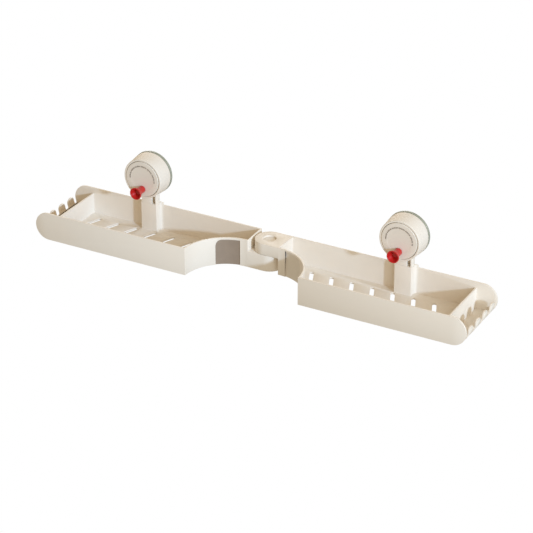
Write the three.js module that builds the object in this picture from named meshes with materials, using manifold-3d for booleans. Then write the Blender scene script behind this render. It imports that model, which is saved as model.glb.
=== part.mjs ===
// Folding suction shelf: two trough trays joined by a vertical hinge, each hung on one round suction head.
// Millimetres, +Z up. X runs along the open shelf, +Y points to the wall, Z = 0 is the underside of the trays.
// The origin is the centre of the footprint.
import * as THREE from 'three';
import { mergeVertices } from 'three/addons/utils/BufferGeometryUtils.js';
import Module from 'manifold-3d';

const wasm = await Module();
wasm.setup();

// ---------- driving dimensions ----------
const HALF = 310;            // hinge axis to outer end of one tray
const DEPTH = 97;            // tray front to tray back
const H = 38.7;              // tray height
const WALL = 2.4;            // tray wall
const FLOOR = 2.5;           // tray floor
const PAD_PROUD = 0.8;       // suction pad stands proud of the tray backs
const GAP = 0.3;             // clearance between touching pieces
const YR = (DEPTH + PAD_PROUD) / 2;      // wall plane, rear of the pads
const YB = YR - PAD_PROUD;               // back of the trays
const YF = YB - DEPTH;                   // front of the trays
const R_KNUCKLE = 19.3;                  // hinge knuckle radius, tangent to the back plane
const YH = YB - R_KNUCKLE;               // hinge axis
const NECK_X = 22;                       // tray end faces at the hinge
const LUG_TOP = 22.5, LOBE_BOT = 23.2;   // lower and upper knuckle
const BAY_X = 23, BAY_R = 58.4;          // quarter-round bay at the inner front corner
const NICHE = { a0: 9.9, a1: 41.2, depth: 1.2, top: 3, r: 8 }; // shallow arched recess in the bay wall, degrees round the bay
const END_R = H / 2, END_X = HALF - END_R;
const ENDWALL_X = 282, ENDWALL_Z = 30.7; // inner end wall and its top
const COMB_Z = 19.35, COMB_BOT = 11, FINGER_W = 13.5;
const FINGER_Y = [16, 37.6, 59.2, 80.8]; // finger centres from the back
const SLOT = { n: 8, x0: 60.2, pitch: 28.75, y: YB - WALL - 15.5, len: 50, len0: 34, w: 5.5, tilt: 23 };
const STEM_X = 186, STEM_W = 23.7, STEM_D = 11, STEM_TOP = 42.6;
const SOCK = { w: 12.6, d: 5.6, bot: 12, y: 40.6 };   // socket in the column for the hanger blade
const BLADE = { w: 12, d: 5, bot: 14 };
const PIN_R = 4, PIN_HEAD_R = 8.3, RECESS_R = 8.6, RECESS_D = 4.0;
const HEAD_Z = H + 44.7;                 // suction head axis
const HEAD_R0 = 29.0, HEAD_R1 = 27.6;    // housing radius at the rear and at the front
const PAD_R = 29.4;
const Y_FRONT = YR - 28.5;               // dial face
const DIAL_R = 24.4, PEG_DROP = 13.9, PEG_R0 = 5.0, PEG_R1 = 8.3, PEG_L = 17.4;
const CAM_LIFT = 2, CAM_TURN = 90;       // stud travel in mm for the dial's turn in degrees
const SEG = 28;

// ---------- helpers ----------
function closed(g) {
  let b = new THREE.BufferGeometry();
  b.setAttribute('position', g.getAttribute('position').clone());
  if (g.index) b.setIndex(g.index.clone());
  b = mergeVertices(b, 1e-4);
  const p = b.getAttribute('position'), ix = b.index.array, out = [];
  let vol = 0;
  for (let i = 0; i < ix.length; i += 3) {
    const [a, c, d] = [ix[i], ix[i + 1], ix[i + 2]];
    if (a === c || c === d || a === d) continue;
    out.push(a, c, d);
    const A = new THREE.Vector3().fromBufferAttribute(p, a), C = new THREE.Vector3().fromBufferAttribute(p, c), D = new THREE.Vector3().fromBufferAttribute(p, d);
    vol += A.dot(C.cross(D));
  }
  if (vol < 0) for (let i = 0; i < out.length; i += 3) { const t = out[i + 1]; out[i + 1] = out[i + 2]; out[i + 2] = t; }
  b.setIndex(out);
  return b;
}
function M(g) {
  const b = closed(g);
  return new wasm.Manifold(new wasm.Mesh({ numProp: 3, vertProperties: new Float32Array(b.getAttribute('position').array), triVerts: new Uint32Array(b.index.array) }));
}
function G(m) {
  const r = m.getMesh();
  const b = new THREE.BufferGeometry();
  b.setAttribute('position', new THREE.BufferAttribute(new Float32Array(r.vertProperties), 3));
  b.setIndex(new THREE.BufferAttribute(new Uint32Array(r.triVerts), 1));
  b.computeVertexNormals();
  return b;
}
// prism over a plan outline, from z0 to z1
function plan(pts, z0, z1) {
  const g = new THREE.ExtrudeGeometry(new THREE.Shape(pts.map(p => new THREE.Vector2(p[0], p[1]))), { depth: z1 - z0, bevelEnabled: false, steps: 1 });
  return g.translate(0, 0, z0);
}
// prism over an X-Z outline, from y0 to y1
function side(pts, y0, y1) {
  const g = new THREE.ExtrudeGeometry(new THREE.Shape(pts.map(p => new THREE.Vector2(p[0], p[1]))), { depth: y1 - y0, bevelEnabled: false, steps: 1 });
  return g.rotateX(Math.PI / 2).translate(0, y1, 0);
}
// prism over a Y-Z outline, from x0 to x1
function across(pts, x0, x1) {
  const g = new THREE.ExtrudeGeometry(new THREE.Shape(pts.map(p => new THREE.Vector2(p[0], p[1]))), { depth: x1 - x0, bevelEnabled: false, steps: 1 });
  // local x -> Y, local y -> Z, extrusion -> X
  const m = new THREE.Matrix4().set(0, 0, 1, x0, 1, 0, 0, 0, 0, 1, 0, 0, 0, 0, 0, 1);
  return g.applyMatrix4(m);
}
function box(x0, x1, y0, y1, z0, z1) {
  return new THREE.BoxGeometry(x1 - x0, y1 - y0, z1 - z0).translate((x0 + x1) / 2, (y0 + y1) / 2, (z0 + z1) / 2);
}
function arc(cx, cy, r, a0, a1, n) {
  const o = [];
  for (let i = 0; i <= n; i++) { const a = (a0 + (a1 - a0) * i / n) * Math.PI / 180; o.push([cx + r * Math.cos(a), cy + r * Math.sin(a)]); }
  return o;
}
// round solid about the Y axis; the profile is [radius, y] pairs
function turned(prof, seg = SEG) {
  const pts = prof.map(p => new THREE.Vector2(p[0], p[1]));
  if (prof[0][0] > 1e-6 || prof[prof.length - 1][0] > 1e-6) pts.push(pts[0].clone());
  return new THREE.LatheGeometry(pts, seg);
}
function upright(prof, seg = SEG) { return turned(prof, seg).rotateX(Math.PI / 2); }   // same about the Z axis
function mirrored(g) { return closed(g.clone().scale(-1, 1, 1)); }
const cyl = (r, y0, y1, seg = SEG) => turned([[0, y0], [r, y0], [r, y1], [0, y1]], seg);
const rod = (r, z0, z1, seg = SEG) => upright([[0, z0], [r, z0], [r, z1], [0, z1]], seg);

const CREAM = { color: 0xd9cfbf, roughness: 0.45, metalness: 0 };
const MAT = {
  tray: new THREE.MeshStandardMaterial(CREAM),
  head: new THREE.MeshStandardMaterial({ color: 0xdcd3c4, roughness: 0.4, metalness: 0 }),
  dial: new THREE.MeshStandardMaterial({ color: 0xd6ccbc, roughness: 0.4, metalness: 0 }),
  peg: new THREE.MeshStandardMaterial({ color: 0xa01f1c, roughness: 0.35, metalness: 0 }),
  pad: new THREE.MeshStandardMaterial({ color: 0xb9bcb0, roughness: 0.3, metalness: 0 }),
  inner: new THREE.MeshStandardMaterial({ color: 0xc8beae, roughness: 0.5, metalness: 0 }),
  steel: new THREE.MeshStandardMaterial({ color: 0xb8b8ba, roughness: 0.3, metalness: 1 }),
};
const group = new THREE.Group();
function put(name, geom, mat) {
  const m = new THREE.Mesh(geom, mat);
  m.name = name;
  group.add(m);
  return m;
}

// ---------- trays ----------
// Everything below is drawn for the right tray; the left one is its mirror image.
function planOutline(inset, x0) {
  const r = BAY_R + inset;
  const pts = [[x0, YB - inset], [HALF + 5, YB - inset], [HALF + 5, YF + inset]];
  const a1 = Math.asin(inset / r) * 180 / Math.PI;
  const ring = arc(BAY_X, YF, r, a1, 90, 16);
  for (const p of ring) pts.push(p);
  if (x0 < BAY_X) pts.push([x0, YF + r]);
  return pts;
}
function trayShell() {
  const outerSide = [[NECK_X, 0], ...arc(END_X, END_R, END_R, -90, 90, 18), [NECK_X, H]];
  let t = M(plan(planOutline(0, NECK_X), -1, H + 1)).intersect(M(side(outerSide, YF, YB)));
  const niche = NICHE;
  const sector = (r0, r1, a0, a1, n) => [...arc(BAY_X, YF, r0, 90 - a0, 90 - a1, n), ...arc(BAY_X, YF, r1, 90 - a1, 90 - a0, n)];
  let inner = M(plan(planOutline(WALL, NECK_X + WALL), FLOOR, H + 2)).intersect(M(box(NECK_X + WALL, ENDWALL_X - WALL, YF, YB, 0, H + 3)));
  // socket column on the back wall
  const w = STEM_W / 2, c = 0.6, yf = YB - WALL - STEM_D;
  const stem = M(plan([[STEM_X - w - 3.5, YB - 1], [STEM_X - w - 3.5, YB - WALL], [STEM_X - w, YB - WALL - 5], [STEM_X - w, yf + c], [STEM_X - w + c, yf],
    [STEM_X + w - c, yf], [STEM_X + w, yf + c], [STEM_X + w, YB - WALL - 5], [STEM_X + w + 3.5, YB - WALL], [STEM_X + w + 3.5, YB - 1]], 0.5, STEM_TOP));
  t = t.subtract(inner);
  // end pocket between the inner end wall and the comb
  const pocket = [[ENDWALL_X, FLOOR], ...arc(END_X, END_R, END_R - WALL, -90, 90, 14), [ENDWALL_X, H + 3]];
  t = t.subtract(M(side(pocket, YF + WALL, YB - WALL)));
  t = t.subtract(M(box(ENDWALL_X - WALL - 1, HALF + 5, YF + WALL, YB - WALL, ENDWALL_Z, H + 5)));
  t = t.subtract(M(box(ENDWALL_X, HALF + 5, YF + WALL, YB - WALL, COMB_Z + FINGER_W / 4, H + 5)));
  // gaps between the comb fingers, with rounded finger tips
  const edges = [YB - WALL, ...FINGER_Y.flatMap(f => [YB - f + FINGER_W / 2, YB - f - FINGER_W / 2]), YF + WALL];
  for (let i = 0; i < edges.length; i += 2) {
    const y1 = edges[i], y0 = edges[i + 1], zt = COMB_Z - 2, e = 3;
    const first = i === 0, last = i === edges.length - 2;
    const pts = [[y0 + 1.5, COMB_BOT], [y1 - 1.5, COMB_BOT], [y1, COMB_BOT + 1.5], [y1, zt]];
    if (!first) pts.push([y1 + 1.2, zt + 3.4], [y1 + 4.2, COMB_Z + FINGER_W / 4 + 0.5], [y1 + 4.2, H]); else pts.push([y1, H]);
    if (!last) pts.push([y0 - 4.2, H], [y0 - 4.2, COMB_Z + FINGER_W / 4 + 0.5], [y0 - 1.2, zt + 3.4]); else pts.push([y0, H]);
    pts.push([y0, zt], [y0, COMB_BOT + 1.5]);
    t = t.subtract(M(across(pts, ENDWALL_X + 1.5, HALF + 5)));
  }
  t = t.add(stem);
  // drain slots
  for (let k = 0; k < SLOT.n; k++) {
    const L = k === 0 ? SLOT.len0 : SLOT.len, x = SLOT.x0 + k * SLOT.pitch, r = SLOT.w / 2;
    const pts = [...arc(0, 0, r, 0, 180, 6), ...arc(0, -L, r, 180, 360, 6)];
    t = t.subtract(M(plan(pts, -2, FLOOR + 2).rotateZ(SLOT.tilt * Math.PI / 180).translate(x, SLOT.y, 0)));
  }
  // arched niche in the bay wall
  const a0 = niche.a0, a1 = niche.a1, n = 7;
  let cut = M(plan(sector(BAY_R - 3, BAY_R + niche.depth, a0, a1, n), -1, H - niche.top - niche.r));
  cut = cut.add(M(plan(sector(BAY_R - 3, BAY_R + niche.depth, a0, a1 - 1.2, n), 5, H - niche.top - niche.r * 0.55)));
  cut = cut.add(M(plan(sector(BAY_R - 3, BAY_R + niche.depth, a0, a1 - 3.2, n), 5, H - niche.top - niche.r * 0.25)));
  cut = cut.add(M(plan(sector(BAY_R - 3, BAY_R + niche.depth, a0, a1 - 6.5, n), 5, H - niche.top)));
  t = t.subtract(cut);
  // socket for the hanger blade
  t = t.subtract(M(box(STEM_X - SOCK.w / 2, STEM_X + SOCK.w / 2, SOCK.y - SOCK.d / 2, SOCK.y + SOCK.d / 2, SOCK.bot, STEM_TOP + 2)));
  return t;
}
const shell = trayShell();

// upper knuckle, part of the right tray
let right = M(G(shell)).subtract(M(box(NECK_X - 5, NECK_X - 0.01, YF, YB, -1, H + 1)));
const blockY0 = YH - R_KNUCKLE;
let lobe = M(rod(R_KNUCKLE, LOBE_BOT, H, 48).translate(0, YH, 0)).add(M(box(0, NECK_X + 1, blockY0, YB, LOBE_BOT, H)));
lobe = lobe.subtract(M(rod(PIN_R + GAP, 0, H + 5, 28).translate(0, YH, 0))).subtract(M(rod(RECESS_R, H - RECESS_D, H + 5, 28).translate(0, YH, 0)));
right = right.add(lobe);
put('right_tray', G(right), MAT.tray);

// lower knuckle, part of the left tray
let left = M(mirrored(G(shell)));
let lug = M(rod(R_KNUCKLE, 0, LUG_TOP, 48).translate(0, YH, 0)).add(M(box(-NECK_X - 1, 0, blockY0, YB, 0, LUG_TOP)));
lug = lug.subtract(M(rod(PIN_R + GAP, -1, H, 28).translate(0, YH, 0))).subtract(M(rod(RECESS_R, -5, 6, 28).translate(0, YH, 0)));
left = left.add(lug);
put('left_tray', G(left), MAT.tray);

// hinge hardware
put('hinge_pin', closed(upright([[0, 1.2], [PIN_R - 0.6, 1.2], [PIN_R, 1.8], [PIN_R, H - RECESS_D + GAP], [PIN_HEAD_R, H - RECESS_D + GAP], [PIN_HEAD_R, H - 2.7], [PIN_HEAD_R - 0.3, H - 2.4], [0, H - 2.4]], 28).translate(0, YH, 0)), MAT.tray);
put('hinge_washer', G(M(rod(9, LUG_TOP + 0.1, LOBE_BOT - 0.1, 28).translate(0, YH, 0)).subtract(M(rod(PIN_R + GAP, LUG_TOP - 1, LOBE_BOT + 1, 28).translate(0, YH, 0)))), MAT.steel);
put('hinge_nut', G(M(rod(7.2, 1.6, 6 - GAP, 6).translate(0, YH, 0)).subtract(M(rod(PIN_R + 0.15, 0, 8, 28).translate(0, YH, 0)))), MAT.steel);

// ---------- suction heads ----------
const yHouse = Y_FRONT + 0.6;               // housing rim at the front
const yWeb0 = Y_FRONT + 10.4, yWeb1 = yWeb0 + 1.6;
const yRear = YR - 4.0;                     // housing's rear edge, just in front of the pad's rim
function headParts(side_, sx) {
  const N = s => s + '_' + side_;
  const at = g => g.translate(sx, 0, HEAD_Z);
  // suction pad: thin dish with a thicker boss that holds the stud's flange
  put(N('suction_pad'), closed(at(turned([
    [0, YR - 2.2], [10, YR - 1.9], [20, YR - 1.0], [PAD_R - 2.8, YR], [PAD_R - 0.4, YR], [PAD_R, YR - 0.4], [PAD_R, YR - 3.4], [PAD_R - 0.3, YR - 3.7], [25.6, YR - 3.7], [25.2, YR - 2.2], [24, YR - 2.1], [19, YR - 3.1],
    [10, YR - 4.2], [8.4, YR - 5.5], [8.4, YR - 8.9], [2.9, YR - 8.9], [2.9, YR - 7.4], [6.5, YR - 7.4], [6.5, YR - 3.4], [0, YR - 3.4]]))), MAT.pad);
  put(N('pull_stud'), closed(at(turned([[0, YR - 3.8], [6, YR - 3.8], [6, YR - 5.0], [2.5, YR - 5.0], [2.5, YR - 9.3], [5.4, YR - 9.3], [5.4, YR - 10.7], [2.5, YR - 10.7],
    [2.5, Y_FRONT + 4.4], [2.1, Y_FRONT + 4.0], [0, Y_FRONT + 4.0]], 16))), MAT.steel);
  // cross pin through the stud's front end
  const yPin = Y_FRONT + 6.0;
  const pinHole = g => g.rotateZ(-Math.PI / 2).translate(0, yPin, 0);
  put(N('cross_pin'), closed(at(pinHole(turned([[0, -8.6], [1.0, -8.6], [1.2, -8.3], [1.2, 8.3], [1.0, 8.6], [0, 8.6]], 14)))), MAT.steel);
  // re-cut the stud for the pin
  const stud = group.children.find(m => m.name === N('pull_stud'));
  stud.geometry = G(M(stud.geometry).subtract(M(at(pinHole(cyl(1.25, -12, 12, 14))))));
  // backing plate behind the housing
  put(N('backing_plate'), closed(at(turned([[9.2, YR - 6.4], [9.2, YR - 5.1], [19, YR - 3.9], [24.6, YR - 2.6], [24.6, YR - 4.2], [19, YR - 5.6]]))), MAT.inner);
  // housing: tapered shell with a front web
  let hs = M(at(turned([[HEAD_R1 - 2.7, yHouse], [HEAD_R1 - 0.9, yHouse], [HEAD_R1, yHouse + 0.9], [HEAD_R1 + 0.5, yHouse + 10], [HEAD_R0 - 0.5, yRear - 6], [HEAD_R0, yRear - 4.5], [HEAD_R0, yRear], [HEAD_R0 - 2.8, yRear],
    [HEAD_R0 - 2.8, yRear - 4.5], [HEAD_R1 - 1.6, yWeb1], [3.4, yWeb1], [3.4, yWeb0], [HEAD_R1 - 2.7, yWeb0]])));
  // foot under the housing that the hanger screws into
  const hz = HEAD_Z - HEAD_R0;
  hs = hs.add(M(box(sx - 10.5, sx + 11.5, 34.9, SOCK.y + 3.4, hz - 0.6, hz + 5.2)));
  hs = hs.subtract(M(rod(1.65, hz - 4, hz + 4.6, 12).translate(sx, SOCK.y, 0)));
  put(N('head_housing'), G(hs), MAT.head);
  // hanger: neck between the housing and the column, open at one side, with a forked blade in the column's socket
  const nz0 = STEM_TOP + GAP, nz1 = hz - 0.6 - GAP, ny0 = YB - WALL - STEM_D + 0.2, ny1 = YB - 3.5;
  let hg = M(box(sx - 10.5, sx + 11.5, ny0, ny1, nz0, nz1));
  hg = hg.subtract(M(box(sx + 4.7, sx + 9.9, ny0 - 1, ny0 + 8, nz0 - 1, nz1 + 1)));
  hg = hg.add(M(box(sx - BLADE.w / 2, sx + BLADE.w / 2, SOCK.y - BLADE.d / 2, SOCK.y + BLADE.d / 2, BLADE.bot, nz0 + 1)));
  hg = hg.subtract(M(rod(1.9, nz0 - 30, nz1 + 2, 12).translate(sx, SOCK.y, 0)));
  hg = hg.subtract(M(rod(3.3, nz0 - 30, nz1 - 4, 16).translate(sx, SOCK.y, 0)));
  put(N('hanger'), G(hg), MAT.head);
  put(N('hanger_screw'), closed(upright([[0, nz1 - 6.6], [2.9, nz1 - 6.6], [2.9, nz1 - 4.3], [1.5, nz1 - 4.3], [1.5, hz + 3.8], [0.6, hz + 4.3], [0, hz + 4.3]], 14).translate(sx, SOCK.y, 0)), MAT.steel);
  // thrust washer and cam wheel
  put(N('thrust_washer'), closed(at(turned([[4.2, yWeb0 - 0.8], [10, yWeb0 - 0.8], [10, yWeb0 - 0.25], [4.2, yWeb0 - 0.25]], 28))), MAT.steel);
  const yc1 = yWeb0 - 1.05, yc0 = yc1 - 1.8;      // cam wheel plate
  let cam = M(turned([[3.2, yc1], [21, yc1], [21, yc0], [3.2, yc0]]));
  // two equal ramps, each rising forward over the dial's turn and a margin, then falling back
  const ring = new THREE.LatheGeometry([new THREE.Vector2(4, yc0 + 0.5), new THREE.Vector2(10, yc0 + 0.5), new THREE.Vector2(10, yc0), new THREE.Vector2(4, yc0), new THREE.Vector2(4, yc0 + 0.5)], 36);
  const lift = deg => { const a = ((deg % 180) + 180) % 180; const up = 120; return a <= up ? a / CAM_TURN * CAM_LIFT : (180 - a) / (180 - up) * (up / CAM_TURN * CAM_LIFT); };
  const p = ring.getAttribute('position');
  for (let i = 0; i < p.count; i++) {
    if (Math.abs(p.getY(i) - yc0) < 1e-6) {
      const a = Math.atan2(p.getZ(i), p.getX(i)) * 180 / Math.PI;
      p.setY(i, yc0 - 0.05 - lift(a + 7.5));
    }
  }
  cam = cam.add(M(ring));
  cam = cam.subtract(M(cyl(3.2, -80, 80, 20)));
  for (const a of [90, 210, 330]) cam = cam.subtract(M(cyl(1.3, -80, 80, 12).translate(16 * Math.cos(a * Math.PI / 180), 0, 16 * Math.sin(a * Math.PI / 180))));
  put(N('cam_wheel'), G(M(at(G(cam)))), MAT.inner);
  // dial cover with its skirt and screw posts
  let dc = M(turned([[0, Y_FRONT], [DIAL_R - 0.5, Y_FRONT], [DIAL_R, Y_FRONT + 0.5], [DIAL_R, yc1 - 0.2], [DIAL_R - 1.7, yc1 - 0.2], [DIAL_R - 1.7, Y_FRONT + 1.7], [0, Y_FRONT + 1.7]]));
  for (const a of [90, 210, 330]) {
    const x = 16 * Math.cos(a * Math.PI / 180), z = 16 * Math.sin(a * Math.PI / 180);
    dc = dc.add(M(cyl(3, Y_FRONT + 1, yc0 - 0.3, 16).translate(x, 0, z)));
    dc = dc.subtract(M(cyl(1.25, Y_FRONT + 3, yc0 + 2, 12).translate(x, 0, z)));
  }
  dc = dc.subtract(M(cyl(2.9, Y_FRONT - 2, Y_FRONT + 4, 20).translate(0, 0, -PEG_DROP)));
  put(N('dial_cover'), G(M(at(G(dc)))), MAT.dial);
  [90, 210, 330].forEach((a, i) => {
    const x = 16 * Math.cos(a * Math.PI / 180), z = 16 * Math.sin(a * Math.PI / 180);
    put(N('dial_screw' + (i + 1)), closed(at(turned([[0, Y_FRONT + 3.6], [0.5, Y_FRONT + 3.6], [1.0, Y_FRONT + 4.1], [1.0, yc1 - 0.8], [0, yc1 - 0.8]], 10).translate(x, 0, z))), MAT.steel);
  });
  // red grip peg: waisted and flared, with a spigot through the cover
  const yp = Y_FRONT - GAP;
  let peg = M(turned([[0, yp + 3.6], [2.55, yp + 3.6], [2.55, yp], [PEG_R0, yp], [PEG_R0 - 0.1, yp - 4.5], [PEG_R0 + 0.4, yp - 8.5], [PEG_R0 + 1.5, yp - 12], [PEG_R1 - 0.5, yp - 15], [PEG_R1, yp - 16.4], [PEG_R1 - 0.2, yp - PEG_L + 0.2], [PEG_R1 - 0.6, yp - PEG_L],
    [PEG_R1 - 1.2, yp - PEG_L + 0.2], [PEG_R1 - 1.7, yp - PEG_L + 2], [PEG_R0 - 0.4, yp - 12.4], [PEG_R0 - 1.4, yp - 9.4], [0, yp - 9]], 20));
  peg = peg.subtract(M(cyl(1.15, yp - 6, yp + 8, 12)));
  put(N('grip_peg'), G(M(G(peg).translate(sx, 0, HEAD_Z - PEG_DROP))), MAT.peg);
  put(N('peg_screw'), closed(turned([[0, yp + 5.2], [2.4, yp + 5.2], [2.4, yp + 3.9], [1.0, yp + 3.9], [1.0, yp - 5.0], [0, yp - 5.4]], 12).translate(sx, 0, HEAD_Z - PEG_DROP)), MAT.steel);
  // return spring between the housing web and the stud's collar
  class Coil extends THREE.Curve {
    getPoint(t, v = new THREE.Vector3()) {
      const a = t * Math.PI * 2 * 3;
      const y0 = yWeb1 + 0.9, y1 = YR - 10.7 - 0.9;
      return v.set(4.0 * Math.cos(a), y0 + (y1 - y0) * t, 4.0 * Math.sin(a));
    }
  }
  const wire = new THREE.Shape(arc(0, 0, 0.5, 0, 300, 5).map(q => new THREE.Vector2(q[0], q[1])));
  put(N('return_spring'), closed(at(new THREE.ExtrudeGeometry(wire, { steps: 30, bevelEnabled: false, extrudePath: new Coil() }))), MAT.steel);
}
headParts('right', STEM_X);
headParts('left', -STEM_X);

export default group;
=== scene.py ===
import math
import bpy
import bmesh
from mathutils import Vector, Matrix


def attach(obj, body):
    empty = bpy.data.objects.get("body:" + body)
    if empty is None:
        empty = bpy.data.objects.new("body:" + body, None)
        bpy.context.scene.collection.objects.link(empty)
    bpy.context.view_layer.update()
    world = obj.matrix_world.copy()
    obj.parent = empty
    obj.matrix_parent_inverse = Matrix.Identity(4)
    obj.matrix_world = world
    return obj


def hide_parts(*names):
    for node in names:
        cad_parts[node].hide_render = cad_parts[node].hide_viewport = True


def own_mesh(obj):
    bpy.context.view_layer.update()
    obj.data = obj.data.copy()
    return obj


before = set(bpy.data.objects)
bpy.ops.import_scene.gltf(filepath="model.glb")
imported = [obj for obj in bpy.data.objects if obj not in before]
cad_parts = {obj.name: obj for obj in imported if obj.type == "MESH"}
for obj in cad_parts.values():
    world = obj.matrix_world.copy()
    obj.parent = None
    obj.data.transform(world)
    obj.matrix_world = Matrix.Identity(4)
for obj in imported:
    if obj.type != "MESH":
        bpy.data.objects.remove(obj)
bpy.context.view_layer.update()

MM = 0.001

# ---------------------------------------------------------------- dimensions, in millimetres, as in the CAD model
HALF, DEPTH, H, WALL, FLOOR = 310.0, 97.0, 38.7, 2.4, 2.5
PAD_PROUD = 0.8
YR = (DEPTH + PAD_PROUD) / 2
YB = YR - PAD_PROUD
YF = YB - DEPTH
RK = 19.3
YH = YB - RK
NECK_X, LUG_TOP, LOBE_BOT = 22.0, 22.5, 23.2
BAY_X, BAY_R = 23.0, 58.4
NI_A0, NI_A1, NI_D, NI_TOP, NI_R = 9.9, 41.2, 1.2, 3.0, 8.0
END_R = H / 2
END_X = HALF - END_R
ENDWALL_X, ENDWALL_Z = 282.0, 30.7
COMB_Z, COMB_BOT, FINGER_W = 19.35, 11.0, 13.5
FINGER_Y = [16, 37.6, 59.2, 80.8]
STEM_X, STEM_W, STEM_D, STEM_TOP = 186.0, 23.7, 11.0, 42.6
SOCK_W, SOCK_D, SOCK_BOT, SOCK_Y = 12.6, 5.6, 12.0, 40.6
BLADE_W, BLADE_D, BLADE_BOT = 12.0, 5.0, 14.0
PIN_R, PIN_HEAD_R, RECESS_R, RECESS_D = 4.0, 8.3, 8.6, 4.0
HEAD_Z = H + 44.7
HEAD_R0, HEAD_R1, PAD_R = 29.0, 27.6, 29.4
Y_FRONT = YR - 28.5
DIAL_R, PEG_DROP, PEG_R0, PEG_R1, PEG_L = 24.4, 13.9, 5.0, 8.3, 17.4
GAP = 0.3

# ---------------------------------------------------------------- mesh helpers


def obj_from_bm(name, bm):
    me = bpy.data.meshes.new(name)
    bm.normal_update()
    bm.to_mesh(me)
    bm.free()
    o = bpy.data.objects.new(name, me)
    bpy.context.scene.collection.objects.link(o)
    return o


def fix_normals(bm):
    bmesh.ops.recalc_face_normals(bm, faces=bm.faces)


def prism(name, pts, a0, a1, axis="Z"):
    """Closed prism over a 2-D outline. axis Z: outline in XY; axis Y: outline in XZ; axis X: outline in YZ."""
    bm = bmesh.new()

    def v(p, a):
        if axis == "Z":
            return (p[0] * MM, p[1] * MM, a * MM)
        if axis == "Y":
            return (p[0] * MM, a * MM, p[1] * MM)
        return (a * MM, p[0] * MM, p[1] * MM)

    lo = [bm.verts.new(v(p, a0)) for p in pts]
    hi = [bm.verts.new(v(p, a1)) for p in pts]
    n = len(pts)
    bm.faces.new(lo)
    bm.faces.new(hi)
    for i in range(n):
        j = (i + 1) % n
        bm.faces.new((lo[i], lo[j], hi[j], hi[i]))
    fix_normals(bm)
    return obj_from_bm(name, bm)


def boxo(name, x0, x1, y0, y1, z0, z1):
    return prism(name, [(x0, y0), (x1, y0), (x1, y1), (x0, y1)], z0, z1)


def arc(cx, cy, r, a0, a1, n):
    return [(cx + r * math.cos(math.radians(a0 + (a1 - a0) * i / n)), cy + r * math.sin(math.radians(a0 + (a1 - a0) * i / n))) for i in range(n + 1)]


def lathe(name, prof, seg=96, centre=(0, 0, 0), axis="Y"):
    """Solid of revolution. prof is [(radius, along)], closed on itself or on the axis."""
    bm = bmesh.new()
    on_axis = prof[0][0] < 1e-6 and prof[-1][0] < 1e-6
    rings = []
    for r, a in prof:
        ring = []
        if r < 1e-6:
            p = (0, a, 0) if axis == "Y" else (0, 0, a)
            ring = [bm.verts.new([(centre[k] + p[k]) * MM for k in range(3)])]
        else:
            for i in range(seg):
                t = 2 * math.pi * i / seg
                c, s = r * math.cos(t), r * math.sin(t)
                p = (c, a, s) if axis == "Y" else (c, s, a)
                ring.append(bm.verts.new([(centre[k] + p[k]) * MM for k in range(3)]))
        rings.append(ring)
    m = len(rings)
    for k in range(m - 1 if on_axis else m):
        A, B = rings[k], rings[(k + 1) % m]
        for i in range(seg):
            j = (i + 1) % seg
            if len(A) == 1 and len(B) == 1:
                continue
            if len(A) == 1:
                bm.faces.new((A[0], B[i], B[j]))
            elif len(B) == 1:
                bm.faces.new((A[i], A[j], B[0]))
            else:
                bm.faces.new((A[i], A[j], B[j], B[i]))
    fix_normals(bm)
    return obj_from_bm(name, bm)


def rounded(prof, r=0.5, n=3, closed_loop=False, skip=()):
    """Rounds the corners of a profile polyline."""
    out = []
    m = len(prof)
    for i, p in enumerate(prof):
        if (not closed_loop and i in (0, m - 1)) or i in skip:
            out.append(p)
            continue
        a, b = Vector(prof[i - 1]), Vector(prof[(i + 1) % m])
        q = Vector(p)
        da, db = a - q, b - q
        la, lb = da.length, db.length
        if la < 1e-6 or lb < 1e-6:
            out.append(p)
            continue
        da.normalize()
        db.normalize()
        ang = math.acos(max(-1, min(1, da.dot(db))))
        if ang > math.radians(168):
            out.append(p)
            continue
        t = min(r / math.tan(ang / 2), la * 0.45, lb * 0.45)
        s, e = q + da * t, q + db * t
        for k in range(n + 1):
            u = k / n
            w = s * (1 - u) ** 2 + q * 2 * u * (1 - u) + e * u * u
            out.append((w.x, w.y))
    return out


def apply_mods(o):
    dg = bpy.context.evaluated_depsgraph_get()
    me = bpy.data.meshes.new_from_object(o.evaluated_get(dg))
    old = o.data
    o.modifiers.clear()
    o.data = me
    bpy.data.meshes.remove(old)
    return o


def boolean(a, b, op="DIFFERENCE", keep=False, solver="EXACT"):
    m = a.modifiers.new("b", "BOOLEAN")
    m.operation = op
    m.solver = solver
    m.object = b
    bpy.context.view_layer.update()
    apply_mods(a)
    if not keep:
        me = b.data
        bpy.data.objects.remove(b)
        bpy.data.meshes.remove(me)
    return a


def clean(o, angle=0.6, dist=2e-6):
    bm = bmesh.new()
    bm.from_mesh(o.data)
    bmesh.ops.remove_doubles(bm, verts=bm.verts, dist=dist)
    bmesh.ops.dissolve_limit(bm, angle_limit=math.radians(angle), verts=bm.verts, edges=bm.edges)
    bmesh.ops.delete(bm, geom=[e for e in bm.edges if not e.link_faces], context="EDGES")
    bmesh.ops.delete(bm, geom=[v for v in bm.verts if not v.link_edges], context="VERTS")
    bm.to_mesh(o.data)
    bm.free()
    return o


def bevel(o, width=0.6, seg=3, angle=32, clamp=True):
    m = o.modifiers.new("bevel", "BEVEL")
    m.width = width * MM
    m.segments = seg
    m.limit_method = "ANGLE"
    m.angle_limit = math.radians(angle)
    m.use_clamp_overlap = clamp
    m.miter_outer = "MITER_ARC" if clamp else "MITER_SHARP"
    m.harden_normals = False
    bpy.context.view_layer.update()
    return apply_mods(o)


def shade(o, angle=35):
    for p in o.data.polygons:
        p.use_smooth = True
    o.data.set_sharp_from_angle(angle=math.radians(angle))
    return o


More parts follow.
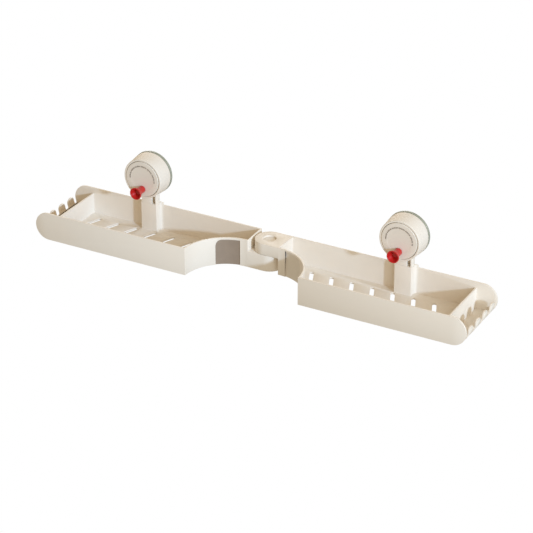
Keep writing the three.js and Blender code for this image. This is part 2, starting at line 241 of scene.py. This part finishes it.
def mirror_x(o, name):
    me = o.data.copy()
    me.transform(Matrix.Scale(-1, 4, (1, 0, 0)))
    me.flip_normals()
    n = bpy.data.objects.new(name, me)
    bpy.context.scene.collection.objects.link(n)
    return n


def move(o, x=0, y=0, z=0):
    o.data.transform(Matrix.Translation((x * MM, y * MM, z * MM)))
    return o


# ---------------------------------------------------------------- materials


def lin(c):
    return tuple(((v / 255) / 12.92 if v / 255 <= 0.04045 else ((v / 255 + 0.055) / 1.055) ** 2.4) for v in c) + (1.0,)


class Nodes:
    def __init__(self, name):
        self.m = bpy.data.materials.new(name)
        self.m.use_nodes = True
        self.t = self.m.node_tree
        self.t.nodes.clear()
        self.out = self.t.nodes.new("ShaderNodeOutputMaterial")
        self.b = self.t.nodes.new("ShaderNodeBsdfPrincipled")
        self.t.links.new(self.b.outputs[0], self.out.inputs[0])
        tc = self.t.nodes.new("ShaderNodeTexCoord")
        self.co = tc.outputs["Object"]

    def new(self, kind, **kw):
        n = self.t.nodes.new(kind)
        for k, v in kw.items():
            setattr(n, k, v)
        return n

    def link(self, a, b):
        self.t.links.new(a, b)

    def noise(self, scale, detail=3.0, rough=0.5, stretch=None):
        n = self.new("ShaderNodeTexNoise")
        n.inputs["Scale"].default_value = scale
        n.inputs["Detail"].default_value = detail
        n.inputs["Roughness"].default_value = rough
        if stretch:
            mp = self.new("ShaderNodeMapping")
            mp.inputs["Scale"].default_value = stretch
            self.link(self.co, mp.inputs["Vector"])
            self.link(mp.outputs[0], n.inputs["Vector"])
        else:
            self.link(self.co, n.inputs["Vector"])
        return n.outputs["Fac"]

    def mixc(self, fac, a, b):
        n = self.new("ShaderNodeMix", data_type="RGBA")
        if hasattr(fac, "links"):
            self.link(fac, n.inputs["Factor"])
        else:
            n.inputs["Factor"].default_value = fac
        for s, v in (("A", a), ("B", b)):
            i = [x for x in n.inputs if x.name == s and x.type == "RGBA"][0]
            if hasattr(v, "links"):
                self.link(v, i)
            else:
                i.default_value = v
        return [x for x in n.outputs if x.type == "RGBA"][0]

    def ramp(self, fac, lo, hi, a=0.0, b=1.0):
        n = self.new("ShaderNodeMapRange")
        self.link(fac, n.inputs["Value"])
        n.inputs["From Min"].default_value = lo
        n.inputs["From Max"].default_value = hi
        n.inputs["To Min"].default_value = a
        n.inputs["To Max"].default_value = b
        return n.outputs[0]

    def math(self, op, a, b):
        n = self.new("ShaderNodeMath", operation=op)
        for i, v in enumerate((a, b)):
            if hasattr(v, "links"):
                self.link(v, n.inputs[i])
            else:
                n.inputs[i].default_value = v
        return n.outputs[0]

    def bump(self, h, strength, dist, prev=None):
        n = self.new("ShaderNodeBump")
        n.inputs["Strength"].default_value = strength
        n.inputs["Distance"].default_value = dist
        self.link(h, n.inputs["Height"])
        if prev is not None:
            self.link(prev, n.inputs["Normal"])
        return n.outputs[0]


def plastic(name, rgb, rough=0.42, grain=0.06, var=0.05, edge=0.06, coat=0.0, sss=0.0, arch_shade_rgb=None):
    """Moulded plastic: faint flow mottling, a fine spark-eroded grain, and edges polished a little lighter by handling.
    With a shade colour given, the back of the arched niche in the bay wall is painted dark as painted shade.
    """
    n = Nodes(name)
    base = lin(rgb)
    dark = tuple(c * (1 - var) for c in base[:3]) + (1,)
    warm = (base[0] * 1.0, base[1] * (1 - var * 0.5), base[2] * (1 - var), 1)
    flow = n.ramp(n.noise(14, 4, 0.55, (1, 2.2, 2.2)), 0.35, 0.65)
    mott = n.ramp(n.noise(90, 3, 0.5), 0.3, 0.7)
    c = n.mixc(n.math("MULTIPLY", flow, 0.8), base, warm)
    c = n.mixc(n.math("MULTIPLY", mott, 0.35), c, dark)
    g = n.new("ShaderNodeNewGeometry")
    worn = n.ramp(g.outputs["Pointiness"], 0.515, 0.56)
    light = tuple(min(1, v * (1 + edge) + 0.02) for v in base[:3]) + (1,)
    c = n.mixc(n.math("MULTIPLY", worn, 0.6), c, light)
    # painted shade: a mask from object position picks the back face of the arched niche in the bay wall and paints it a
    # shadow colour, standing in for the shade that lies there
    if arch_shade_rgb:
        sp = n.new("ShaderNodeSeparateXYZ")
        n.link(n.co, sp.inputs[0])
        px = n.math("SUBTRACT", n.math("ABSOLUTE", sp.outputs[0], 0), BAY_X * MM)
        py = n.math("SUBTRACT", sp.outputs[1], YF * MM)
        rad = n.math("SQRT", n.math("ADD", n.math("MULTIPLY", px, px), n.math("MULTIPLY", py, py)), 0)
        ang = n.math("ARCTAN2", px, py)
        m = n.math("MULTIPLY", n.ramp(rad, (BAY_R + NI_D - 0.25) * MM, (BAY_R + NI_D - 0.1) * MM), n.math("LESS_THAN", rad, (BAY_R + NI_D + 0.3) * MM))
        m = n.math("MULTIPLY", m, n.math("GREATER_THAN", ang, math.radians(NI_A0 - 0.4)))
        m = n.math("MULTIPLY", m, n.math("LESS_THAN", ang, math.radians(NI_A1 + 0.4)))
        m = n.math("MULTIPLY", m, n.math("LESS_THAN", sp.outputs[2], (H - NI_TOP + 0.2) * MM))
        arch_shade_col = lin(arch_shade_rgb)
        c = n.mixc(m, c, n.mixc(mott, arch_shade_col, tuple(v * 0.92 for v in arch_shade_col[:3]) + (1,)))
    n.link(c, n.b.inputs["Base Color"])
    r = n.math("ADD", n.math("MULTIPLY", n.noise(60, 3), 0.10), rough - 0.05)
    r = n.math("SUBTRACT", r, n.math("MULTIPLY", worn, 0.06))
    n.link(r, n.b.inputs["Roughness"])
    b1 = n.bump(n.noise(2600, 2, 0.6), grain, 0.00006)
    b2 = n.bump(n.noise(38, 2, 0.4), 0.10, 0.0006, b1)
    n.link(b2, n.b.inputs["Normal"])
    n.b.inputs["IOR"].default_value = 1.5
    n.b.inputs["Coat Weight"].default_value = coat
    n.b.inputs["Coat Roughness"].default_value = 0.15
    if sss:
        n.b.inputs["Subsurface Weight"].default_value = sss
        n.b.inputs["Subsurface Radius"].default_value = (0.004, 0.0025, 0.0015)
        n.b.inputs["Subsurface Scale"].default_value = 0.5
    return n.m


def steel(name, rgb=(196, 196, 198), rough=0.28, scale=900, stretch=(1, 12, 12)):
    n = Nodes(name)
    base = lin(rgb)
    s = n.noise(scale, 3, 0.6, stretch)
    c = n.mixc(n.ramp(s, 0.3, 0.7), tuple(v * 0.82 for v in base[:3]) + (1,), base)
    n.link(c, n.b.inputs["Base Color"])
    n.b.inputs["Metallic"].default_value = 1.0
    n.link(n.math("ADD", n.math("MULTIPLY", s, 0.18), rough - 0.08), n.b.inputs["Roughness"])
    n.link(n.bump(s, 0.25, 0.00005), n.b.inputs["Normal"])
    return n.m


def soft_pad(name):
    """Soft translucent grey-green plastic."""
    n = Nodes(name)
    a, b = lin((176, 177, 158)), lin((158, 160, 142))
    c = n.mixc(n.ramp(n.noise(45, 3, 0.5), 0.3, 0.7), a, b)
    n.link(c, n.b.inputs["Base Color"])
    n.link(n.math("ADD", n.math("MULTIPLY", n.noise(120, 2), 0.12), 0.18), n.b.inputs["Roughness"])
    n.b.inputs["Transmission Weight"].default_value = 0.15
    n.b.inputs["IOR"].default_value = 1.48
    n.b.inputs["Subsurface Weight"].default_value = 0.25
    n.b.inputs["Subsurface Radius"].default_value = (0.004, 0.004, 0.003)
    n.b.inputs["Subsurface Scale"].default_value = 0.5
    n.link(n.bump(n.noise(700, 2), 0.05, 0.0001), n.b.inputs["Normal"])
    return n.m


def ink(name):
    n = Nodes(name)
    a, b = lin((112, 96, 82)), lin((138, 122, 106))
    n.link(n.mixc(n.ramp(n.noise(1500, 2), 0.4, 0.65), a, b), n.b.inputs["Base Color"])
    n.link(n.math("ADD", n.math("MULTIPLY", n.noise(400, 2), 0.1), 0.5), n.b.inputs["Roughness"])
    return n.m


CREAM = (233, 223, 207)
M_TRAY = plastic("tray_cream", CREAM, 0.44)
# left tray copy with painted shade in the arched bay-wall niche (shadow colour 158, 140, 122)
M_TRAY_L_ARCH_SHADE = plastic("tray_cream_arch_painted_shade", CREAM, 0.44, arch_shade_rgb=(158, 140, 122))
M_HEAD = plastic("head_cream", (234, 225, 210), 0.40)
M_DIAL = plastic("dial_cream", (231, 222, 207), 0.38, grain=0.04)
M_INNER = plastic("inner_cream", (214, 205, 190), 0.5)
M_PEG = plastic("peg_red", (196, 30, 26), 0.36, grain=0.03, var=0.16, edge=0.06, coat=0.1)
M_PAD = soft_pad("pad_soft")
M_STEEL = steel("plated_steel")
M_INK = ink("mark_ink")


def dress(o, mat, body, angle=35, node=None):
    o.data.materials.clear()
    o.data.materials.append(mat)
    shade(o, angle)
    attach(o, body)
    if node:
        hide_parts(*([node] if isinstance(node, str) else node))
    return o


# ---------------------------------------------------------------- trays


def plan_outline(inset, x0):
    r = BAY_R + inset
    pts = [(x0, YB - inset), (HALF + 5, YB - inset), (HALF + 5, YF + inset)]
    a1 = math.degrees(math.asin(inset / r))
    pts += arc(BAY_X, YF, r, a1, 90, 56)
    if x0 < BAY_X:
        pts.append((x0, YF + r))
    return pts


def tray_shell():
    t = prism("shell", plan_outline(0, NECK_X), -1, H + 1)
    side_out = [(NECK_X, 0)] + arc(END_X, END_R, END_R, -90, 90, 56) + [(NECK_X, H)]
    boolean(t, prism("c", side_out, YF - 1, YB + 1, "Y"), "INTERSECT")

    def sector(r0, r1, a0, a1, n):
        return arc(BAY_X, YF, r0, 90 - a0, 90 - a1, n) + arc(BAY_X, YF, r1, 90 - a1, 90 - a0, n)

    inner = prism("inner", plan_outline(WALL, NECK_X + WALL), FLOOR, H + 2)
    boolean(inner, boxo("c", ENDWALL_X - WALL, HALF + 20, YF - 5, YB + 5, -1, H + 5))
    boolean(t, inner)
    # end pocket, open top beyond the inner end wall, comb gaps
    pocket = [(ENDWALL_X, FLOOR)] + arc(END_X, END_R, END_R - WALL, -90, 90, 40) + [(ENDWALL_X, H + 3)]
    boolean(t, prism("c", pocket, YF + WALL, YB - WALL, "Y"))
    boolean(t, boxo("c", ENDWALL_X - WALL - 1, HALF + 5, YF + WALL, YB - WALL, ENDWALL_Z, H + 5))
    boolean(t, boxo("c", ENDWALL_X + 0.8, HALF + 5, YF + WALL, YB - WALL, COMB_Z + FINGER_W / 4, H + 5))
    edges = [YB - WALL]
    for f in FINGER_Y:
        edges += [YB - f + FINGER_W / 2, YB - f - FINGER_W / 2]
    edges.append(YF + WALL)
    for i in range(0, len(edges), 2):
        y1, y0 = edges[i], edges[i + 1]
        first, last = i == 0, i == len(edges) - 2
        zt, zc = COMB_Z - 3.4, COMB_Z + FINGER_W / 4 + 0.6
        w = FINGER_W / 2
        pts = arc(y0 + 2, COMB_BOT + 2, 2, 180, 270, 6) + arc(y1 - 2, COMB_BOT + 2, 2, 270, 360, 6)
        if first:
            pts += [(y1, H)]
        else:   # round over the finger on the +Y side
            for k in range(0, 9):
                a = math.radians(k * 10)
                pts.append((y1 + w * (1 - math.cos(a)), zt + (zc - zt) * math.sin(a)))
            pts.append((pts[-1][0], H))
        if last:
            pts += [(y0, H)]
        else:
            q = []
            for k in range(0, 9):
                a = math.radians(k * 10)
                q.append((y0 - w * (1 - math.cos(a)), zt + (zc - zt) * math.sin(a)))
            pts.append((q[-1][0], H))
            pts += q[::-1]
        boolean(t, prism("c", pts, ENDWALL_X + 1.5, HALF + 5, "X"))
    # socket column, flared where it meets the wall
    w, yf = STEM_W / 2, YB - WALL - STEM_D
    fl = [(STEM_X - w - 4.5 * (1 - math.sin(math.radians(a))), YB - WALL - 5.0 * (1 - math.cos(math.radians(a)))) for a in range(0, 91, 10)]
    left = [(STEM_X - w - 4.5, YB - 1)] + fl + arc(STEM_X - w + 0.6, yf + 0.6, 0.6, 180, 270, 4)
    right = [(2 * STEM_X - x, y) for x, y in left][::-1]
    boolean(t, prism("c", left + right, 0.5, STEM_TOP), "UNION")
    # drain slots
    cut = None
    for k in range(8):
        L = 34 if k == 0 else 50
        c = prism("c", arc(0, 0, 2.75, 0, 180, 12) + arc(0, -L, 2.75, 180, 360, 12), -2, FLOOR + 2)
        c.data.transform(Matrix.Rotation(math.radians(23), 4, "Z"))
        move(c, 60.2 + 28.75 * k, YB - WALL - 15.5)
        boolean(t, c)
    # arched niche in the bay wall
    bm = bmesh.new()
    cols, arch = [], math.degrees(NI_R / BAY_R)
    angs = [NI_A0 + (NI_A1 - arch - NI_A0) * k / 22 for k in range(22)] + [NI_A1 - arch * math.cos(math.radians(k * 90 / 12)) for k in range(13)]
    for an in angs:
        u = max(0.0, (an - (NI_A1 - arch)) / arch)
        zt = H - NI_TOP - NI_R + NI_R * math.sqrt(max(0.0, 1 - u * u))
        ca, sa = math.cos(math.radians(90 - an)), math.sin(math.radians(90 - an))
        r0, r1 = BAY_R - 3, BAY_R + NI_D
        cols.append([bm.verts.new(((BAY_X + r * ca) * MM, (YF + r * sa) * MM, z * MM)) for r, z in ((r0, -1), (r0, zt), (r1, zt), (r1, -1))])
    for A, B in zip(cols, cols[1:]):
        for k in range(4):
            bm.faces.new((A[k], A[(k + 1) % 4], B[(k + 1) % 4], B[k]))
    bm.faces.new(cols[0])
    bm.faces.new(cols[-1])
    fix_normals(bm)
    cn = obj_from_bm("c", bm)
    boolean(t, cn)
    boolean(t, boxo("c", STEM_X - SOCK_W / 2, STEM_X + SOCK_W / 2, SOCK_Y - SOCK_D / 2, SOCK_Y + SOCK_D / 2, SOCK_BOT, STEM_TOP + 2))
    return clean(t)


shell = tray_shell()
right = shell.copy()
right.data = shell.data.copy()
right.name = "right_tray_fine"
bpy.context.scene.collection.objects.link(right)
left = mirror_x(shell, "left_tray_fine")
bpy.data.objects.remove(shell)

# each half of the knuckle is one outline, a half round running on into the block beside it
lobe = prism("lobe", arc(0, YH, RK, 90, 270, 64) + [(NECK_X + 1, YH - RK), (NECK_X + 1, YH + RK)], LOBE_BOT, H)
boolean(lobe, lathe("c", [(0, LOBE_BOT - 5), (PIN_R + GAP, LOBE_BOT - 5), (PIN_R + GAP, H - RECESS_D), (RECESS_R, H - RECESS_D), (RECESS_R, H + 5), (0, H + 5)], 96, (0, YH, 0), "Z"), solver="MANIFOLD")
boolean(right, lobe, "UNION", solver="MANIFOLD")
lug = prism("lug", arc(0, YH, RK, -90, 90, 64) + [(-NECK_X - 1, YH + RK), (-NECK_X - 1, YH - RK)], 0, LUG_TOP)
boolean(lug, lathe("c", [(0, -5), (RECESS_R, -5), (RECESS_R, 6), (PIN_R + GAP, 6), (PIN_R + GAP, LUG_TOP + 5), (0, LUG_TOP + 5)], 96, (0, YH, 0), "Z"), solver="MANIFOLD")
boolean(left, lug, "UNION", solver="MANIFOLD")
for o, b, nd in ((right, "right_tray", "right_tray"), (left, "left_tray", "left_tray")):
    clean(o, dist=1e-4)
    bevel(o, 0.35, 2, clamp=False)  # clamped, the shortest edge would hold every rounding back to nothing
    dress(o, M_TRAY_L_ARCH_SHADE if b == "left_tray" else M_TRAY, b, 40, nd)

# ---------------------------------------------------------------- hinge pin
pin = lathe("hinge_pin_fine", rounded([(0, 1.2), (PIN_R, 1.2), (PIN_R, H - RECESS_D + GAP), (PIN_HEAD_R, H - RECESS_D + GAP), (PIN_HEAD_R, H - 2.4), (5.6, H - 2.4), (5.2, H - 2.55), (0, H - 2.55)], 0.4, 4), 96, (0, YH, 0), "Z")
dress(pin, M_TRAY, "right_tray", 35, "hinge_pin")

# ---------------------------------------------------------------- suction heads
y_house = Y_FRONT + 0.6
y_web0 = Y_FRONT + 10.4
y_web1 = y_web0 + 1.6
y_rear = YR - 4.0
hz = HEAD_Z - HEAD_R0


def mark_ring(sx, side):
    """Generic marks round the dial: short dashes in groups, printed proud by a hair."""
    bm = bmesh.new()
    y0, y1 = Y_FRONT - 0.10, Y_FRONT + 0.05

    def patch(poly):
        lo = [bm.verts.new(((sx + x) * MM, y0 * MM, (HEAD_Z + z) * MM)) for x, z in poly]
        hi = [bm.verts.new(((sx + x) * MM, y1 * MM, (HEAD_Z + z) * MM)) for x, z in poly]
        bm.faces.new(lo)
        bm.faces.new(hi)
        for i in range(len(poly)):
            j = (i + 1) % len(poly)
            bm.faces.new((lo[i], lo[j], hi[j], hi[i]))

    def pol(r, a):
        return (r * math.cos(math.radians(a)), r * math.sin(math.radians(a)))

    def dash(a0, a1, r0, r1):
        n = max(1, int(abs(a1 - a0) / 3))
        patch([pol(r1, a0 + (a1 - a0) * k / n) for k in range(n + 1)] + [pol(r0, a1 + (a0 - a1) * k / n) for k in range(n + 1)])

    # angles run anticlockwise from 3 o'clock, seen from the front
    a = 184.0
    widths = [2.2, 1.4, 2.0, 1.6, 2.4, 1.2, 1.8, 2.0, 1.5]
    k = 0
    while a > -5:
        w = widths[k % 9]
        tall = 1.0 if k % 5 else 0.72
        mid = 18.25
        dash(a, a - w, mid - 0.95 * tall, mid + 0.95 * tall)
        a -= w + 1.3 + (2.4 if k % 9 == 8 else 0)
        k += 1
    fix_normals(bm)
    return obj_from_bm("dial_marks_" + side, bm)


def head(side, sx):
    c = (sx, 0, HEAD_Z)
    hb, db, sb = "suction_head_" + side, "dial_" + side, "stud_" + side
    # housing
    prof = [(HEAD_R1 - 2.7, y_house), (HEAD_R1, y_house), (HEAD_R1 + 0.5, y_house + 10), (HEAD_R0, y_rear - 5.5), (HEAD_R0, y_rear), (HEAD_R0 - 2.8, y_rear),
            (HEAD_R0 - 2.8, y_rear - 4.5), (HEAD_R1 - 1.6, y_web1), (3.4, y_web1), (3.4, y_web0), (HEAD_R1 - 2.7, y_web0)]
    hs = lathe("head_housing_fine_" + side, rounded(prof, 1.1, 5, True), 144, c)
    boolean(hs, boxo("c", sx - 10.5, sx + 11.5, 34.9, SOCK_Y + 3.4, hz - 0.6, hz + 5.2), "UNION")
    boolean(hs, lathe("c", [(0, hz - 4), (1.65, hz - 4), (1.65, hz + 4.6), (0, hz + 4.6)], 24, (sx, SOCK_Y, 0), "Z"))
    clean(hs, 0.2)
    dress(hs, M_HEAD, hb, 32, "head_housing_" + side)
    # hanger: neck with an open window on its right side, thin cheek beyond it, forked blade below
    nz0, nz1 = STEM_TOP + 0.04, hz - 0.6 - 0.04
    ny0, ny1 = YB - WALL - STEM_D + 0.2, YB - 3.5
    hg = boxo("hanger_fine_" + side, sx - 10.5, sx + 11.5, ny0, ny1, nz0, nz1)
    boolean(hg, boxo("c", sx + 4.7, sx + 9.9, ny0 - 1, ny0 + 8, nz0 - 1, nz1 + 1))
    boolean(hg, boxo("c", sx - BLADE_W / 2, sx + BLADE_W / 2, SOCK_Y - BLADE_D / 2, SOCK_Y + BLADE_D / 2, BLADE_BOT, nz0 + 1), "UNION")
    boolean(hg, lathe("c", [(0, nz0 - 30), (1.9, nz0 - 30), (1.9, nz1 + 2), (0, nz1 + 2)], 24, (sx, SOCK_Y, 0), "Z"))
    boolean(hg, lathe("c", [(0, nz0 - 30), (3.3, nz0 - 30), (3.3, nz1 - 4), (0, nz1 - 4)], 32, (sx, SOCK_Y, 0), "Z"))
    clean(hg)
    bevel(hg, 0.35, 3)
    dress(hg, M_HEAD, hb, 35, "hanger_" + side)
    # pad: dish with a flat sealing ring and a thick soft rim
    pp = [(0, YR - 2.2), (10, YR - 1.9), (20, YR - 1.0), (PAD_R - 2.8, YR), (PAD_R, YR), (PAD_R, YR - 3.7), (25.6, YR - 3.7), (25.2, YR - 2.2), (24, YR - 2.1), (19, YR - 3.1),
          (10, YR - 4.2), (8.4, YR - 5.5), (8.4, YR - 8.9), (2.9, YR - 8.9), (2.9, YR - 7.4), (6.5, YR - 7.4), (6.5, YR - 3.4), (0, YR - 3.4)]
    pd = lathe("suction_pad_fine_" + side, rounded(pp, 0.6, 4), 144, c)
    dress(pd, M_PAD, hb, 35, "suction_pad_" + side)
    # dial: flat face, shallow moulded line inside the rim, skirt and screw posts
    yc1 = y_web0 - 1.05
    dp = [(0, Y_FRONT + 0.12), (16.2, Y_FRONT + 0.12), (16.5, Y_FRONT), (DIAL_R, Y_FRONT), (DIAL_R, yc1 - 0.2), (DIAL_R - 1.7, yc1 - 0.2), (DIAL_R - 1.7, Y_FRONT + 1.7), (0, Y_FRONT + 1.7)]
    dc = lathe("dial_cover_fine_" + side, rounded(dp, 0.6, 4), 144, c)
    for a in (90, 210, 330):
        x, z = 16 * math.cos(math.radians(a)), 16 * math.sin(math.radians(a))
        boolean(dc, lathe("c", [(0, Y_FRONT + 1), (3, Y_FRONT + 1), (3, yc1 - 2.1), (0, yc1 - 2.1)], 32, (sx + x, 0, HEAD_Z + z)), "UNION")
        boolean(dc, lathe("c", [(0, Y_FRONT + 3), (1.25, Y_FRONT + 3), (1.25, yc1), (0, yc1)], 24, (sx + x, 0, HEAD_Z + z)))
    boolean(dc, lathe("c", [(0, Y_FRONT - 2), (2.9, Y_FRONT - 2), (2.9, Y_FRONT + 4), (0, Y_FRONT + 4)], 40, (sx, 0, HEAD_Z - PEG_DROP)))
    dress(dc, M_DIAL, db, 32, "dial_cover_" + side)
    mk = mark_ring(sx, side)
    dress(mk, M_INK, db, 35)
    # peg: waisted stem flaring to a hollow trumpet end
    yp = Y_FRONT - GAP
    pg = [(0, yp + 3.6), (2.55, yp + 3.6), (2.55, yp), (PEG_R0, yp), (PEG_R0 - 0.1, yp - 4.5), (PEG_R0 + 0.4, yp - 8.5), (PEG_R0 + 0.85, yp - 10.4), (PEG_R0 + 1.5, yp - 12), (PEG_R0 + 2.2, yp - 13.6), (PEG_R1 - 0.4, yp - 15), (PEG_R1, yp - 16.4),
          (PEG_R1, yp - PEG_L), (PEG_R1 - 1.2, yp - PEG_L), (PEG_R1 - 1.7, yp - PEG_L + 2), (PEG_R0 + 0.6, yp - 13.6), (PEG_R0 - 0.4, yp - 12.0), (PEG_R0 - 1.4, yp - 9.6), (0, yp - 9)]
    peg = lathe("grip_peg_fine_" + side, rounded(pg, 0.6, 4), 112, (sx, 0, HEAD_Z - PEG_DROP))
    boolean(peg, lathe("c", [(0, yp - 6), (1.15, yp - 6), (1.15, yp + 8), (0, yp + 8)], 24, (sx, 0, HEAD_Z - PEG_DROP)))
    dress(peg, M_PEG, db, 35, "grip_peg_" + side)
    # return spring: closed-end coil of round wire, which shortens as the stud is pulled
    turns, wr, cr = 3.4, 0.5, 4.0
    sy0, sy1 = y_web1 + 0.9, YR - 10.7 - 0.9
    bm = bmesh.new()
    prev, n, m = None, 220, 12
    for i in range(n + 1):
        t = i / n
        th = t * turns * 2 * math.pi
        lead = 0.5 - 0.5 * math.cos(math.pi * min(1, max(0, (t - 0.06) / 0.88)))
        y = sy0 + (sy1 - sy0) * lead
        cc = Vector((sx + cr * math.cos(th), y, HEAD_Z + cr * math.sin(th)))
        rad = Vector((math.cos(th), 0, math.sin(th)))
        ring = []
        for j in range(m):
            ph = 2 * math.pi * j / m
            ring.append(bm.verts.new((cc + rad * wr * math.cos(ph) + Vector((0, wr * math.sin(ph), 0))) * MM))
        if prev:
            for j in range(m):
                bm.faces.new((prev[j], prev[(j + 1) % m], ring[(j + 1) % m], ring[j]))
        else:
            bm.faces.new(ring)
        prev = ring
    bm.faces.new(prev)
    fix_normals(bm)
    sp = obj_from_bm("return_spring_fine_" + side, bm)
    dress(sp, M_STEEL, hb, 60, "return_spring_" + side)
    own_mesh(sp)


head("right", STEM_X)
head("left", -STEM_X)

# ---------------------------------------------------------------- CAD nodes that stay get real materials
for s in ("right", "left"):
    for n in ("pull_stud", "cross_pin", "hanger_screw", "thrust_washer", "dial_screw1", "dial_screw2", "dial_screw3", "peg_screw"):
        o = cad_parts[n + "_" + s]
        o = bpy.data.objects[o] if isinstance(o, str) else o
        o.data.materials.clear(); o.data.materials.append(M_STEEL)
    for n in ("backing_plate", "cam_wheel"):
        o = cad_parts[n + "_" + s]
        o = bpy.data.objects[o] if isinstance(o, str) else o
        o.data.materials.clear(); o.data.materials.append(M_INNER)
for n in ("hinge_washer", "hinge_nut"):
    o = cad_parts[n]
    o = bpy.data.objects[o] if isinstance(o, str) else o
    o.data.materials.clear(); o.data.materials.append(M_STEEL)

# ---------------------------------------------------------------- floor, light, camera
bm = bmesh.new()
bmesh.ops.create_grid(bm, x_segments=1, y_segments=1, size=4.0)
floor = obj_from_bm("floor", bm)
floor.location.z = -0.0002
fm = Nodes("floor_pale")
fc = fm.mixc(fm.ramp(fm.noise(6, 2), 0.3, 0.7), (0.93, 0.93, 0.92, 1), (0.95, 0.95, 0.95, 1))
fm.link(fc, fm.b.inputs["Base Color"])
fm.b.inputs["Roughness"].default_value = 0.9
# an overexposed white sweep: it reads pure white, and sends only a soft warm bounce up to the object
glow = fm.new("ShaderNodeEmission")
glow.inputs["Color"].default_value = (1, 1, 1, 1)
glow.inputs["Strength"].default_value = 1.0
soft = fm.new("ShaderNodeEmission")
soft.inputs["Color"].default_value = (0.47, 0.43, 0.36, 1)
soft.inputs["Strength"].default_value = 1.0
ray = fm.new("ShaderNodeLightPath")
mixs = fm.new("ShaderNodeMixShader")
fm.link(ray.outputs["Is Camera Ray"], mixs.inputs[0])
fm.link(soft.outputs[0], mixs.inputs[1])
fm.link(glow.outputs[0], mixs.inputs[2])
fm.link(mixs.outputs[0], fm.out.inputs[0])
floor.data.materials.append(fm.m)

world = bpy.data.worlds.new("studio")
bpy.context.scene.world = world
world.use_nodes = True
wt = world.node_tree
bg = wt.nodes["Background"]
bg.inputs[0].default_value = (0.60, 0.51, 0.385, 1)
bg.inputs[1].default_value = 1.0
bg2 = wt.nodes.new("ShaderNodeBackground")
bg2.inputs[0].default_value = (1, 1, 1, 1)
bg2.inputs[1].default_value = 1.0
wl = wt.nodes.new("ShaderNodeLightPath")
wm = wt.nodes.new("ShaderNodeMixShader")
wt.links.new(wl.outputs["Is Camera Ray"], wm.inputs[0])
wt.links.new(bg.outputs[0], wm.inputs[1])
wt.links.new(bg2.outputs[0], wm.inputs[2])
wt.links.new(wm.outputs[0], [n for n in wt.nodes if n.type == "OUTPUT_WORLD"][0].inputs[0])


def sun(name, az, el, strength, angle, col=(1, 1, 1)):
    """az is measured from -Y towards +X."""
    l = bpy.data.lights.new(name, "SUN")
    l.energy = strength
    l.angle = math.radians(angle)
    l.color = col
    o = bpy.data.objects.new(name, l)
    bpy.context.scene.collection.objects.link(o)
    a, e = math.radians(az), math.radians(el)
    d = Vector((math.sin(a) * math.cos(e), -math.cos(a) * math.cos(e), math.sin(e)))
    o.rotation_euler = d.to_track_quat("Z", "Y").to_euler()
    return o


def panel(name, pos, size, power, col):
    """Soft square panel aimed at the middle of the shelf."""
    l = bpy.data.lights.new(name, "AREA")
    l.energy = power
    l.size = size
    l.color = col
    o = bpy.data.objects.new(name, l)
    bpy.context.scene.collection.objects.link(o)
    o.location = pos
    d = Vector(pos) - Vector((0.1, 0, 0.05))
    o.rotation_euler = d.to_track_quat("Z", "Y").to_euler()
    return o


sun("key", 61, 17.5, 2.3, 3, (0.50, 0.70, 1.0))
panel("fill", (0.95, -0.55, 0.42), 0.7, 3.9, (0.86, 0.93, 1.0))
panel("back", (-0.7, 1.3, 0.45), 1.2, 7.0, (0.95, 0.97, 1.0))

AZ, EL, F, DIST, TX, TZ = 28.594, 27.82, 2112.26, 2710.565, 9.413, 9.575
a, e = math.radians(AZ), math.radians(EL)
fwd = Vector((-math.sin(a) * math.cos(e), math.cos(a) * math.cos(e), -math.sin(e)))
rgt = Vector((math.cos(a), math.sin(a), 0))
up = rgt.cross(fwd)
cam = bpy.data.cameras.new("camera")
cam.sensor_width = 36
cam.lens = F / 533 * 36
cam.clip_end = 50
co = bpy.data.objects.new("camera", cam)
bpy.context.scene.collection.objects.link(co)
co.matrix_world = Matrix((rgt, up, -fwd)).transposed().to_4x4()
co.location = (rgt * TX + up * TZ - fwd * DIST) * MM
bpy.context.scene.camera = co
bpy.context.scene.view_settings.view_transform = "Standard"
